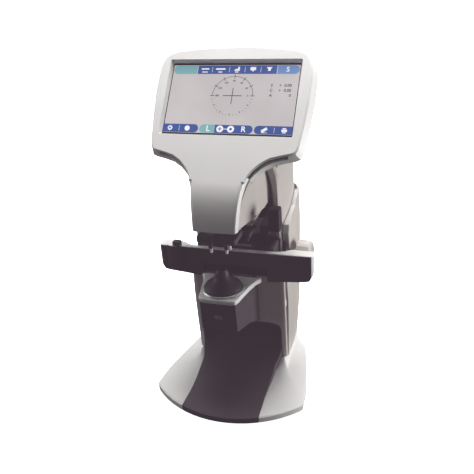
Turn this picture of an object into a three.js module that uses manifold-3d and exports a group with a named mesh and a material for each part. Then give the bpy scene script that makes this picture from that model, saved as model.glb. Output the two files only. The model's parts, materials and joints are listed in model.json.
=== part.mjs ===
// Digital lens meter: a touch-screen head on a column, a lens table with its forward feed, a lens
// presser, a marking slide and a nosepiece over the measuring optics. Millimetres, +Z up,
// the front faces -Y, +X is to the right as seen from the front.
import * as THREE from 'three';
import { mergeVertices } from 'three/addons/utils/BufferGeometryUtils.js';
import Module from 'manifold-3d';

const wasm = await Module();
wasm.setup();

// ---------------------------------------------------------------- driving dimensions
const GAP = 0.3; // air between pieces that touch
const WALL = 2.5; // moulded wall thickness
const FOOTPRINT_SHIFT_Y = 34; // carries the middle of the footprint onto the origin

const OPTICAL_Y = -80; // measuring axis, straight up through the nosepiece
const SCREEN_Y = -2.7; // middle of the display glass
const SCREEN_Z = 364.9;
const SCREEN_TILT = THREE.MathUtils.degToRad(49.3); // 0 would lie flat, face up
const BEZEL_FRONT = 6; // bezel face above the display glass
const SCREEN_VIEW = { halfWidth: 78.5, low: -46, high: 45.7 };
const GLASS = { halfWidth: 81, low: -48.5, high: 48.2, thickness: 1.8 };

const FLOOR_CLEARANCE = 2.3; // underside of the base above the floor
const BASE_TOP = 24; // where the base ends and the column covers start
const BASE_FRONT_RADIUS = 130;
const BASE_FRONT_CENTRE_Y = -10;
const BASE_REAR_Y = 66;

const COLUMN_FRONT_Y = -25;
const COLUMN_HALF = 61;
const LEDGE_TOP = 145.7; // top of the lower column cover
const RECESS = { halfWidth: 54.5, top: 76, cornerRadius: 12, back: -3 };

const CHANNEL_BACK_Y = 12; // back wall of the upright channel in the upper column
const CARRIAGE_SLOT_TOP = 188.3;
const COVER_FRONT_Y = -19.5; // front edges of the rear cover below the ledge

const TABLE = { front: -34.6, back: -28.2, top: 184, halfWidth: 99, notchHalf: 41.5, notchTop: 162 };
const GUIDE_ROD = { x: 36, z: 170, r: 3 };
const PINION = { y: 18, z: 158, pitch: 10, teeth: 20, from: 20.5, to: 26.5 };
const TOOTH_PITCH = 2 * Math.PI * PINION.pitch / PINION.teeth;
const KNOB = { from: 69, to: 88, r: 19 };

const PLATE_TOP = 156.2; // pedestal plate round the nosepiece
const PLATE_THICKNESS = 6.5;
const NOSEPIECE_TOP = 183;

const NECK_FLOOR = 238; // underside of the neck
const PRESSER = { low: 222, high: 229, tips: 205, rodX: 20, rodY: -66, rodR: 2.5 };
const MARKER = { low: 218, high: 229, railX: 29, pinY: -24.5, tips: 193, pinX: 17 };

// ---------------------------------------------------------------- solids and booleans
function triangleVolume(positions, a, b, c) {
  const p = (i) => new THREE.Vector3().fromArray(positions, 3 * i);
  return p(a).dot(p(b).cross(p(c))) / 6;
}

// A closed solid of a geometry: vertices merged, collapsed faces dropped, faces turned outwards.
function toSolid(geometry) {
  const bare = geometry.clone();
  bare.deleteAttribute('normal');
  bare.deleteAttribute('uv');
  const merged = mergeVertices(bare, 1e-4);
  const positions = merged.attributes.position.array;
  const faces = [];
  let volume = 0;
  for (let i = 0; i < merged.index.count; i += 3) {
    const [a, b, c] = merged.index.array.slice(i, i + 3);
    if (a === b || b === c || c === a) continue;
    faces.push([a, b, c]);
    volume += triangleVolume(positions, a, b, c);
  }
  const outward = volume < 0 ? faces.map(([a, b, c]) => [a, c, b]) : faces;
  return new wasm.Manifold(new wasm.Mesh({
    numProp: 3,
    vertProperties: positions,
    triVerts: new Uint32Array(outward.flat()),
  }));
}

function toGeometry(solid) {
  const mesh = solid.getMesh();
  const geometry = new THREE.BufferGeometry();
  geometry.setAttribute('position', new THREE.BufferAttribute(mesh.vertProperties, 3));
  geometry.setIndex(new THREE.BufferAttribute(mesh.triVerts, 1));
  return geometry;
}

const closed = (geometry) => toGeometry(toSolid(geometry));
const cut = (body, ...tools) =>
  toGeometry(tools.reduce((solid, tool) => solid.subtract(toSolid(tool)), toSolid(body)));
const join = (first, ...others) =>
  toGeometry(others.reduce((solid, other) => solid.add(toSolid(other)), toSolid(first)));
const common = (first, ...others) =>
  toGeometry(others.reduce((solid, other) => solid.intersect(toSolid(other)), toSolid(first)));

// ---------------------------------------------------------------- basic shapes
function box([x0, x1], [y0, y1], [z0, z1]) {
  const geometry = new THREE.BoxGeometry(x1 - x0, y1 - y0, z1 - z0);
  return closed(geometry.translate((x0 + x1) / 2, (y0 + y1) / 2, (z0 + z1) / 2));
}

// The right half of an outline, from the middle top round to the middle bottom, with its mirror.
function mirrored(rightHalf) {
  const left = rightHalf.filter(([x]) => x > 1e-6).map(([x, y]) => [-x, y]).reverse();
  return [...rightHalf, ...left];
}

// Replaces each corner of an outline by an arc-like curve; radius is one number or one per corner.
function rounded(points, radius, steps = 4) {
  const count = points.length;
  return points.flatMap((point, i) => {
    const r = Array.isArray(radius) ? radius[i] : radius;
    if (r <= 0) return [point];
    const corner = new THREE.Vector2(...point);
    const reach = (other) => {
      const side = new THREE.Vector2(...other).sub(corner);
      return corner.clone().add(side.setLength(Math.min(r, side.length() * 0.49)));
    };
    const start = reach(points[(i + count - 1) % count]);
    const end = reach(points[(i + 1) % count]);
    const curve = new THREE.QuadraticBezierCurve(start, corner, end);
    return curve.getPoints(steps).map((p) => [p.x, p.y]);
  });
}

// Extrudes an outline along an axis: (x, y) along z, (y, z) along x, (x, z) along y.
function prism(axis, outline, from, to, bevel = 0) {
  const shape = new THREE.Shape(outline.map(([u, v]) => new THREE.Vector2(u, v)));
  const geometry = new THREE.ExtrudeGeometry(shape, {
    depth: to - from - 2 * bevel,
    bevelEnabled: bevel > 0,
    bevelThickness: bevel,
    bevelSize: bevel,
    bevelOffset: -bevel,
    bevelSegments: 1,
    steps: 1,
  }).translate(0, 0, bevel);
  if (axis === 'x') geometry.applyMatrix4(new THREE.Matrix4().set(
    0, 0, 1, from, 1, 0, 0, 0, 0, 1, 0, 0, 0, 0, 0, 1));
  else if (axis === 'y') geometry.applyMatrix4(new THREE.Matrix4().set(
    1, 0, 0, 0, 0, 0, -1, to, 0, 1, 0, 0, 0, 0, 0, 1));
  else geometry.translate(0, 0, from);
  return closed(geometry);
}

function disc(radius, segments, [cu, cv] = [0, 0]) {
  return Array.from({ length: segments }, (_, i) => {
    const a = 2 * Math.PI * i / segments;
    return [cu + radius * Math.cos(a), cv + radius * Math.sin(a)];
  });
}

const rod = (axis, centre, radius, from, to, segments = 16, bevel = 0) =>
  prism(axis, disc(radius, segments, centre), from, to, bevel);

// A profile of [radius, height] pairs turned round the vertical line through (x, y).
function turned(profile, [x, y] = [0, 0], segments = 32) {
  const points = profile.map(([r, z]) => new THREE.Vector2(r, z));
  const geometry = new THREE.LatheGeometry([...points, points[0]], segments);
  return closed(geometry.rotateX(Math.PI / 2).translate(x, y, 0));
}

function newellNormal(ring) {
  const normal = new THREE.Vector3();
  ring.forEach((p, i) => normal.add(p.clone().cross(ring[(i + 1) % ring.length])));
  return normal.normalize();
}

// Flat triangles over a closed ring of points, facing along its own normal.
function capTriangles(ring) {
  const normal = newellNormal(ring);
  const u = new THREE.Vector3(Math.abs(normal.x) > 0.9 ? 0 : 1, Math.abs(normal.x) > 0.9 ? 1 : 0, 0);
  u.addScaledVector(normal, -u.dot(normal)).normalize();
  const v = normal.clone().cross(u);
  const flat = ring.map((p) => new THREE.Vector2(p.dot(u), p.dot(v)));
  return THREE.ShapeUtils.triangulateShape(flat, []).map(([a, b, c]) => {
    const area = flat[b].clone().sub(flat[a]).cross(flat[c].clone().sub(flat[a]));
    return area > 0 ? [a, b, c] : [a, c, b];
  });
}

// Skins rings of equal point counts and closes both ends.
function loft(rings) {
  const count = rings[0].length;
  const indices = [];
  for (let r = 0; r + 1 < rings.length; r++) {
    for (let i = 0; i < count; i++) {
      const a = r * count + i;
      const b = r * count + (i + 1) % count;
      indices.push(a, b, b + count, a, b + count, a + count);
    }
  }
  const last = (rings.length - 1) * count;
  for (const [a, b, c] of capTriangles(rings[0])) indices.push(a, c, b);
  for (const [a, b, c] of capTriangles(rings.at(-1))) indices.push(last + a, last + b, last + c);
  const geometry = new THREE.BufferGeometry();
  const positions = rings.flat().flatMap((p) => p.toArray());
  geometry.setAttribute('position', new THREE.Float32BufferAttribute(positions, 3));
  geometry.setIndex(indices);
  return closed(geometry);
}

const levelRing = (outline, z) => outline.map(([x, y]) => new THREE.Vector3(x, y, z));

// ---------------------------------------------------------------- materials and assembly
const finish = (color, roughness, metalness = 0) =>
  new THREE.MeshStandardMaterial({ color, roughness, metalness });
const MATERIALS = {
  whiteShell: () => finish(0xd9d6d4, 0.45),
  greyShell: () => finish(0xb9b2ad, 0.5),
  darkShell: () => finish(0x3b3338, 0.5),
  blackPart: () => finish(0x211d20, 0.4),
  rubber: () => finish(0x1b1b1c, 0.9),
  steel: () => finish(0xb5b7ba, 0.3, 1),
  sheetSteel: () => finish(0x8d9092, 0.5, 1),
  metalCan: () => finish(0xa4a6a8, 0.5, 1),
  aluminium: () => finish(0xa7a9ab, 0.4, 1),
  brass: () => finish(0xb08d4a, 0.35, 1),
  glass: () => finish(0x1a2026, 0.08),
  lens: () => finish(0xbfd3da, 0.05),
  board: () => finish(0x1f5a3a, 0.6),
  felt: () => finish(0x2a2a38, 0.95),
  nylon: () => finish(0xe8e6e0, 0.5),
  paper: () => finish(0xf4f4f2, 0.9),
};

const instrument = new THREE.Group();
const tiltedHead = new THREE.Group(); // x right, y up the screen, z out of the screen
tiltedHead.position.set(0, SCREEN_Y, SCREEN_Z);
tiltedHead.rotation.x = SCREEN_TILT;
instrument.add(tiltedHead);

function addPiece(name, material, geometry, parent = instrument) {
  const mesh = new THREE.Mesh(geometry, MATERIALS[material]());
  mesh.name = name;
  parent.add(mesh);
  return mesh;
}

tiltedHead.updateMatrix();
const headFrame = tiltedHead.matrix.clone();
const inWorld = (geometry) => geometry.clone().applyMatrix4(headFrame);
const inHead = (geometry) => geometry.clone().applyMatrix4(headFrame.clone().invert());

// ---------------------------------------------------------------- base
const SIDE_CORNER_X = 97;
function baseOutline(inset = 0) {
  const radius = BASE_FRONT_RADIUS - inset;
  const edgeAngle = Math.asin((SIDE_CORNER_X - 4) / BASE_FRONT_RADIUS);
  const arcSteps = 9;
  const arc = Array.from({ length: arcSteps + 1 }, (_, i) => {
    const a = edgeAngle * i / arcSteps;
    return [radius * Math.sin(a), BASE_FRONT_CENTRE_Y - radius * Math.cos(a)];
  });
  const side = [
    [97, -95], [95.3, -68], [88, -28], [81, 3], [76, 22], [69, 31], [62, 40], [57, 58],
  ].map(([x, y]) => [x - inset, y]);
  const back = BASE_REAR_Y - inset;
  return mirrored([...arc, ...side, [55 - inset, back - 3], [51 - inset, back], [0, back]]);
}

// Pulls an outline point towards the column's footprint: 0 keeps it, 1 puts it on the footprint.
function towardsColumn([x, y], share, half = COLUMN_HALF - 4) {
  const targetX = Math.max(-half, Math.min(half, x));
  const targetY = Math.max(COLUMN_FRONT_Y, y);
  return [x + share * (targetX - x), y + share * (targetY - y)];
}

// [height, share of the way to the column] up the swept top of the base
const BASE_SWEEP = [
  [9.4, 0], [10.6, 0.02], [11.2, 0.35], [12.2, 0.62], [14, 0.8], [17.4, 0.9], [BASE_TOP, 0.965],
];
function baseSolid(inset, drop, low) {
  const outline = baseOutline(inset);
  return loft([
    levelRing(outline, low),
    ...BASE_SWEEP.map(([z, share]) => levelRing(outline.map((p) => towardsColumn(p, share)), z - drop)),
  ]);
}

const SCOOP_PLAN = [[0, -141], [50, -141], [48, -95], [49.5, -45], [RECESS.halfWidth, COLUMN_FRONT_Y]];
const scoopPlan = (grow) => mirrored([
  ...SCOOP_PLAN.map(([x, y]) => [x > 0 ? x + grow : 0, y]),
  [RECESS.halfWidth + grow, RECESS.back + grow], [0, RECESS.back + grow],
]);
// [y, z] up the middle of the scoop, from the front edge into the recess
const SCOOP_SURFACE = [
  [-141, 9.4], [-128, 10.4], [-105, 12], [-80, 14.8], [-55, 20], [-36, 28], [-22, 40], [-12, 56],
  [-7, RECESS.top + 1],
];
const scoopUnder = (drop, back) => [
  [-141, -10], ...SCOOP_SURFACE.map(([y, z]) => [y, z - drop]), [back, RECESS.top + 1 - drop], [back, -10],
];
const recessOpening = (inset, low) => {
  const half = RECESS.halfWidth - inset;
  const top = RECESS.top - inset;
  return rounded([[-half, low], [half, low], [half, top], [-half, top]],
    [0, 0, RECESS.cornerRadius, RECESS.cornerRadius], 3);
};

function scoopEnvelope() {
  const plan = prism('z', scoopPlan(GAP), -5, RECESS.top + 1);
  const frontPart = prism('x', scoopUnder(-40, RECESS.back + GAP), -80, 80);
  return common(plan, frontPart);
}

function buildBase() {
  const inner = baseSolid(3, WALL, -5);
  const columnWay = box([-50, 50], [0, 60], [BASE_TOP - 6, BASE_TOP + 5]);
  addPiece('base_shell', 'whiteShell',
    cut(baseSolid(0, 0, FLOOR_CLEARANCE), inner, columnWay, scoopEnvelope()));

  const plan = prism('z', scoopPlan(0), FLOOR_CLEARANCE, RECESS.top + 1);
  const sweep = common(plan, prism('x', scoopUnder(0, RECESS.back), -80, 80),
    baseSolid(0, -60, FLOOR_CLEARANCE));
  const rim = prism('z', baseOutline(0), FLOOR_CLEARANCE, 80);
  const cheeks = cut(prism('y', recessOpening(0, FLOOR_CLEARANCE), COLUMN_FRONT_Y, RECESS.back),
    prism('y', recessOpening(WALL, -5), COLUMN_FRONT_Y - 5, RECESS.back + 5));
  const hollow = common(prism('x', scoopUnder(3, RECESS.back - 1.5), -80, 80),
    prism('z', scoopPlan(-4), -20, RECESS.top + 5),
    prism('z', baseOutline(4), -20, RECESS.top + 5));
  const solid = cut(common(join(sweep, cheeks), rim), hollow);
  const roofless = prism('y', recessOpening(0, -30), COLUMN_FRONT_Y - 200, RECESS.back + 1);
  addPiece('base_scoop', 'darkShell', common(solid, roofless));

  const platePlan = baseOutline(3.6).map(([x, y]) => [x, Math.max(y, -128)]);
  const plate = prism('z', platePlan, FLOOR_CLEARANCE, FLOOR_CLEARANCE + 1.2);
  addPiece('bottom_plate', 'sheetSteel', cut(plate, prism('z', scoopPlan(1), -5, 10)));

  const feet = { front_left: [-80, -82], front_right: [80, -82], rear_left: [-45, 46], rear_right: [45, 46] };
  for (const [place, [x, y]] of Object.entries(feet)) {
    addPiece('foot_' + place, 'rubber', rod('z', [x, y], 8, 0, FLOOR_CLEARANCE - GAP, 20, 0.5));
  }
}

// ---------------------------------------------------------------- column
function lowerColumnCover() {
  const back = COVER_FRONT_Y - GAP;
  const low = BASE_TOP + GAP;
  const outline = rounded([[COLUMN_HALF, back], [COLUMN_HALF, COLUMN_FRONT_Y], [-COLUMN_HALF, COLUMN_FRONT_Y],
    [-COLUMN_HALF, back]], [0, 6, 6, 0], 3);
  const inner = COLUMN_HALF - WALL;
  const body = prism('z', outline, low, LEDGE_TOP);
  const hollow = prism('z', [[inner, back + 5], [inner, COLUMN_FRONT_Y + WALL], [-inner, COLUMN_FRONT_Y + WALL],
    [-inner, back + 5]], low - 5, LEDGE_TOP + 5);
  const recess = prism('y', recessOpening(-GAP, low - 5), COLUMN_FRONT_Y - 5, 0);
  const opticsWay = box([-18, 18], [COLUMN_FRONT_Y - 5, 0], [92, 140]);
  return cut(body, hollow, recess, opticsWay);
}

// [z, front edge y, strip inner x, strip outer x] up the upper column
const UPPER_SECTIONS = [
  [LEDGE_TOP + GAP, 0, 46, 53], [190, 0, 46, 52.5], [246, 0, 44, 52], [262, -1.5, 42.5, 52],
  [275, -6, 40.8, 52], [286, -15, 40, 52], [297, -27, 40, 52.5], [352, -27, 40, 53],
];
function upperColumnCover() {
  const rings = UPPER_SECTIONS.map(([z, front, inner, outer]) => {
    const rear = rounded([[56, 22], [58.5, 48], [57, BASE_REAR_Y], [0, BASE_REAR_Y]], [0, 6, 16, 0], 3);
    const half = [[0, CHANNEL_BACK_Y], [inner - 1, CHANNEL_BACK_Y], [inner, front + 1.5], [inner + 1.5, front],
      [outer - 2, front], [outer, front + 2.5], ...rear];
    return levelRing(mirrored(half), z);
  });
  const cavity = rounded([[52, 16], [53.5, 22], [56, 48], [54.5, 63.5], [0, 63.5]], [1, 2, 4, 14, 0], 3);
  const inside = prism('z', mirrored([[0, 16], ...cavity]), 100, 400);
  const carriageSlot = box([-51.4, 51.4], [-50, CHANNEL_BACK_Y + GAP], [100, CARRIAGE_SLOT_TOP]);
  const sidePockets = [-1, 1].map((side) => box(
    [Math.min(side * 53.8, side * 63), Math.max(side * 53.8, side * 63)], [12.5, 20.5], [171, 183]));
  const backWindow = box([-48, 48], [0, 17], [100, 180]);
  const armWay = box([-15, 15], [5, 20], [258, 276]);
  const shaftWay = rod('x', [PINION.y, PINION.z], 3.4, 40, 70, 16);
  const headRoom = box([-100, 100], [-64, 100], [-50, 80]);
  return cut(loft(rings), inside, carriageSlot, ...sidePockets, backWindow, armWay, shaftWay,
    inWorld(headSolid(GAP)), inWorld(headRoom));
}

// Half-width of the rear cover at its front edge and at its rear corner
const COVER_SECTIONS = [
  [BASE_TOP + GAP, 62, 58], [61, 63.2, 61], [110, 64, 63], [157, 62.6, 64.4], [194, 61.6, 65.2],
  [245, 61, 64.6],
];
function coverSolid(inset) {
  return loft(COVER_SECTIONS.map(([z, front, rear], i) => {
    const level = i === 0 ? z - 4 * inset : z;
    const half = rounded([[0, COVER_FRONT_Y - 3 * inset], [front - inset, COVER_FRONT_Y - 3 * inset],
      [front - inset, 18], [rear - inset, 50], [rear - 2 - inset, 70 - inset], [0, 70 - inset]],
    [0, 0, 8, 8, 22, 0], 3);
    return levelRing(mirrored(half), level);
  }));
}

// [y, z] along the free edge of the cover, from the ledge up and back to the rear wall
const COVER_TOP_EDGE = [
  [-30, LEDGE_TOP + 5], [COVER_FRONT_Y, LEDGE_TOP + 5], [3.5, LEDGE_TOP + 13], [3.5, 194], [7, 204],
  [22, 211], [37, 218], [59, 236], [80, 238],
];
const COVER_LIP = 4.5; // width of the thickened rim along that edge
const INLET = { halfWidth: 14, low: 40, high: 60 };
const ROCKER = { x: 32, halfWidth: 7, low: 42, high: 58 };
const DOOR = { y: [-6, 40], z: [70, 128] };
const VENT = { halfWidth: 24, low: 178, height: 2.4, pitch: 6, count: 6 };
function rearCoverShell() {
  const aboveEdge = prism('x', [...COVER_TOP_EDGE, [80, 300], [-30, 300]], -90, 90);
  const rimEdge = COVER_TOP_EDGE.slice(3, 8);
  const rimBand = prism('x', [...rimEdge, ...rimEdge.map(([y, z]) => [y + 2, z - 3]).reverse()], -90, 90);
  const rim = common(cut(coverSolid(0), coverSolid(COVER_LIP)), rimBand, box([-90, 90], [0, 48], [180, 300]));
  return cut(join(cut(coverSolid(0), coverSolid(WALL)), rim), aboveEdge);
}

function buildColumn() {
  addPiece('lower_column_cover', 'greyShell', lowerColumnCover());
  addPiece('upper_column_cover', 'greyShell', upperColumnCover());

  const shell = rearCoverShell();
  const inlet = box([-INLET.halfWidth, INLET.halfWidth], [50, 90], [INLET.low, INLET.high]);
  const rocker = box([ROCKER.x - ROCKER.halfWidth, ROCKER.x + ROCKER.halfWidth], [50, 90],
    [ROCKER.low, ROCKER.high]);
  const door = box([-90, -40], DOOR.y, DOOR.z);
  const knobWay = rod('x', [PINION.y, PINION.z], 4.5, 40, 90, 20);
  const vents = Array.from({ length: VENT.count }, (_, i) => VENT.low + i * VENT.pitch).map((z) =>
    box([-VENT.halfWidth, VENT.halfWidth], [60, 80], [z, z + VENT.height]));
  addPiece('rear_cover', 'greyShell', cut(shell, inlet, rocker, door, knobWay, ...vents));

  const doorPanel = box([-90, -40], [DOOR.y[0] + GAP, DOOR.y[1] - GAP], [DOOR.z[0] + GAP, DOOR.z[1] - GAP]);
  addPiece('printer_door', 'greyShell', common(shell, doorPanel));
}

// ---------------------------------------------------------------- head
// Right half of the bezel outline on the screen plane, top middle to the top of the fascia
const BEZEL_HALF = [
  [0, 63.3], [30, 62.6], [55, 60.6], [74, 58], [83, 54.5], [88.6, 48], [91.2, 39], [92.4, 25], [92.3, 0],
  [90.6, -25], [88.2, -50], [86.6, -61], [84.6, -66], [80, -68.2], [69.7, -70.5], [57.8, -74], [48, -80],
  [40, -88], [35.2, -95],
];
const FASCIA_TOP = -103;
const headOutline = (low) => mirrored([...BEZEL_HALF, ...low]);

// [distance behind the display glass, width scale, height scale] of the rear shell
const HEAD_SECTIONS = [[1.2, 1, 1], [-10, 1.05, 1.03], [-26, 0.96, 0.94], [-45, 0.81, 0.81], [-62, 0.63, 0.62]];
const HEAD_MIDDLE = -10;
function headSolid(grow) {
  const outline = headOutline([[20, -96], [0, -96]]);
  return loft(HEAD_SECTIONS.map(([depth, sx, sy], i) => {
    const end = (i === 0 ? 1 : 0) - (i === HEAD_SECTIONS.length - 1 ? 1 : 0);
    return outline.map(([x, y]) => new THREE.Vector3(
      x * (sx + grow / 92), HEAD_MIDDLE + (y - HEAD_MIDDLE) * (sy + grow / 73), depth + grow * end));
  }));
}

// [y, z, half-width] down the fascia, in the instrument's frame
const FASCIA_PATH = [
  [-69.6, 296.3, 34.6], [-75.5, 289.5, 32.2], [-82.5, 280.5, 30.2], [-88.6, 269.5, 28.9], [-93, 257, 27.7],
  [-95.6, 246, 27], [-96.6, NECK_FLOOR, 26.6],
];
function fasciaRings(section, path = FASCIA_PATH) {
  return path.map(([y, z, half], i) => {
    const before = path[Math.max(0, i - 1)];
    const after = path[Math.min(path.length - 1, i + 1)];
    const along = new THREE.Vector2(after[0] - before[0], after[1] - before[1]).normalize();
    const inward = new THREE.Vector2(-along.y, along.x);
    const flat = i === path.length - 1;
    return section(half).map(([x, depth]) => new THREE.Vector3(
      x, y + depth * (flat ? 1 : inward.x), z + depth * (flat ? 0 : inward.y)));
  });
}

const FASCIA_DEPTH = 9;
function fasciaShell(half) {
  const outer = [[half, FASCIA_DEPTH], [half, 5], [half - 1.4, 1.8], [half - 4.6, 0]];
  const inner = [[half - WALL, FASCIA_DEPTH], [half - WALL, 6], [half - 6, WALL]];
  const flip = (points) => points.map(([x, depth]) => [-x, depth]).reverse();
  return [...outer, ...flip(outer), ...flip(inner).reverse(), ...inner.reverse()];
}
const fasciaBlock = (half) =>
  [[half + 30, FASCIA_DEPTH + GAP], [half + 30, -30], [-half - 30, -30], [-half - 30, FASCIA_DEPTH + GAP]];

// Everything in front of the back edge of the fascia
const fasciaSpace = () => loft(fasciaRings(fasciaBlock,
  [[-50, 319, 48], ...FASCIA_PATH.slice(0, -1), [-96.6, NECK_FLOOR - 9, 26.6]]));

function screenBezel() {
  const lowEnd = [[33.4, -99], [32.9, FASCIA_TOP], [0, FASCIA_TOP]];
  const face = prism('z', headOutline(lowEnd), 2.4, BEZEL_FRONT, 1.4);
  const rim = ({ halfWidth, low, high }, grow) =>
    [[halfWidth + grow, low - grow], [halfWidth + grow, high + grow], [-halfWidth - grow, high + grow],
      [-halfWidth - grow, low - grow]];
  const frame = prism('z', rounded(rim(SCREEN_VIEW, 3), 3, 2), GAP, BEZEL_FRONT - 1);
  const slope = loft([[-1, -1], [BEZEL_FRONT + 0.01, 1.6], [BEZEL_FRONT + 2, 1.6]].map(([z, grow]) =>
    levelRing(rounded(rim(SCREEN_VIEW, grow), 1.5, 2), z)));
  const pocket = prism('z', headOutline([[32, -98], [0, -98]]).map(([x, y]) => [x * 0.96, y * 0.96]), 0, 3.4);
  const surround = cut(join(cut(face, pocket), frame), slope);
  return join(surround, inHead(loft(fasciaRings(fasciaShell))));
}

function buildHead() {
  addPiece('screen_bezel', 'whiteShell', screenBezel(), tiltedHead);

  const seam = headOutline([[20, -97], [0, -97]]);
  const shrunk = (share) => seam.map(([x, y]) => [x * share, y * share]);
  const fasciaWay = inHead(fasciaSpace());
  const gasket = cut(prism('z', shrunk(0.985), 1.2 + GAP, 2.4 - GAP), prism('z', shrunk(0.955), 0, 4),
    prism('z', [[-45, -120], [45, -120], [45, -84], [-45, -84]], -5, 10));
  addPiece('bezel_gasket', 'blackPart', gasket, tiltedHead);

  const innerDepth = (depth, i) => (i === 0 ? 4 : depth + (i === HEAD_SECTIONS.length - 1 ? WALL : 0));
  const outline = headOutline([[20, -96], [0, -96]]);
  const inner = loft(HEAD_SECTIONS.map(([depth, sx, sy], i) => outline.map(([x, y]) => new THREE.Vector3(
    x * (sx - 0.032), HEAD_MIDDLE + (y - HEAD_MIDDLE) * (sy - 0.035), innerDepth(depth, i)))));
  const columnWay = box([-38, 38], [-42, 22], [-80, -50]);
  const neckWay = inHead(prism('z', [[-24, -62], [24, -62], [24, 2], [-24, 2]], 240, 310));
  const rearShell = cut(headSolid(0), inner, columnWay, neckWay, fasciaWay);
  addPiece('head_rear_shell', 'whiteShell', rearShell, tiltedHead);

  const { halfWidth, low, high, thickness } = GLASS;
  addPiece('touch_glass', 'glass', box([-halfWidth, halfWidth], [low, high], [-thickness, 0]), tiltedHead);
  addPiece('lcd_module', 'metalCan', box([-81, 81], [-47, 47], [-7.5, -thickness - GAP]), tiltedHead);
  addPiece('main_board', 'board', box([-62, 62], [-42, 42], [-15, -13.2]), tiltedHead);
}

// ---------------------------------------------------------------- neck and its optics
const NECK_SECTIONS = [ // [z, half-width at the fascia, at the middle, at the column]
  [NECK_FLOOR, 26.6, 31.8, 38.3], [257, 27.7, 32.6, 38.4], [269.5, 28.9, 33.8, 38.5],
  [281, 30.2, 35.4, 38.8], [297, 35, 38.5, 39.2],
];
function neckSolid(inset, rearInset) {
  return loft(NECK_SECTIONS.map(([z, front, middle, rear], i) => {
    const level = i === 0 ? z + inset : z;
    const back = CHANNEL_BACK_Y - GAP - rearInset;
    const half = [[0, -98], [front - inset, -98], [front - inset, -82], [middle - inset, -59],
      [rear - inset, -21], [rear - inset, back], [0, back]];
    return levelRing(mirrored(half), level);
  }));
}

// T-shaped slideway under the neck floor, which the marking carriage hangs on
function markingRail(x) {
  const floor = NECK_FLOOR + 1;
  return prism('y', [[x - 2, floor], [x - 2, 234], [x - 4, 234], [x - 4, 231], [x + 4, 231],
    [x + 4, 234], [x + 2, 234], [x + 2, floor]], -57, 11);
}

function buildNeck() {
  const lightWay = rod('z', [0, OPTICAL_Y], 11, 200, 250, 24);
  const guides = (radius, low, high) => [-1, 1].map((side) =>
    rod('z', [side * PRESSER.rodX, PRESSER.rodY], radius, low, high, 12));
  const rodWays = guides(PRESSER.rodR + GAP, 200, 250);
  const bosses = guides(4.6, NECK_FLOOR, 249);
  const shell = cut(neckSolid(0, 0), neckSolid(WALL, WALL), fasciaSpace(), inWorld(headSolid(GAP)));
  const armWay = box([-15, 15], [5, 20], [258, 276]);
  const rails = [-1, 1].map((side) => markingRail(side * MARKER.railX));
  addPiece('neck_housing', 'greyShell', cut(join(shell, ...bosses, ...rails), lightWay, armWay, ...rodWays));

  addPiece('collimator_lens', 'lens', turned([[0, 243], [5, 243.6], [8.7, 245], [8.7, 247], [0, 247]],
    [0, OPTICAL_Y], 24));
  addPiece('lamp_housing', 'blackPart', cut(
    join(rod('z', [0, OPTICAL_Y], 10.4, 241.4, 255, 24), rod('z', [0, OPTICAL_Y + 3], 5, 254, 261, 16)),
    rod('z', [0, OPTICAL_Y], 9, 230, 253, 24)));
}

// ---------------------------------------------------------------- frame and electrics
function buildInside() {
  const armLow = 263;
  const spine = [[34, 5.5], [46, 5.5], [46, 332], [34, 332], [34, armLow + 9], [-66, armLow + 9], [-66, armLow],
    [34, armLow]];
  const foot = prism('z', [[-40, 22], [40, 22], [40, 48], [-40, 48]], 4, 9);
  const lightening = [60, 95, 185, 230].map((z) => box([-8, 8], [20, 60], [z, z + 22]));
  const armWindow = box([-8, 8], [-54, -2], [armLow - 5, armLow + 15]);
  addPiece('support_frame', 'aluminium', cut(join(prism('x', spine, -14, 14), foot), ...lightening, armWindow));

  addPiece('power_supply', 'metalCan', box([-36, 36], [2, 31], [30, 64]));
  const socketHalf = INLET.halfWidth - GAP;
  const socket = box([-socketHalf, socketHalf], [50, 70.6], [INLET.low + GAP, INLET.high - GAP]);
  const mouth = box([-11, 11], [58, 90], [INLET.low + 4, INLET.high - 4]);
  const blades = [[-6, 49], [0, 51.5], [6, 49]].map(([x, z]) => box([x - 1, x + 1], [56, 66], [z - 2, z + 2]));
  addPiece('power_inlet', 'blackPart', join(cut(socket, mouth), ...blades));

  const rocker = prism('x', [[63, 43.8], [69.3, 43.8], [70.2, 50], [72, 56.2], [63, 56.2]],
    ROCKER.x - ROCKER.halfWidth + 1, ROCKER.x + ROCKER.halfWidth - 1);
  addPiece('power_rocker', 'blackPart', rocker);

  const tub = box([-70, -34], [3, 28], [82, 120]);
  addPiece('printer_module', 'blackPart', cut(box([-56, -30], [-1, 32], [78, 108]), tub));
  const rollAxis = [-46, 94];
  addPiece('paper_roll', 'paper', cut(rod('y', rollAxis, 11, 4, 27, 20), rod('y', rollAxis, 4, -5, 40, 12)));
}

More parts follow.
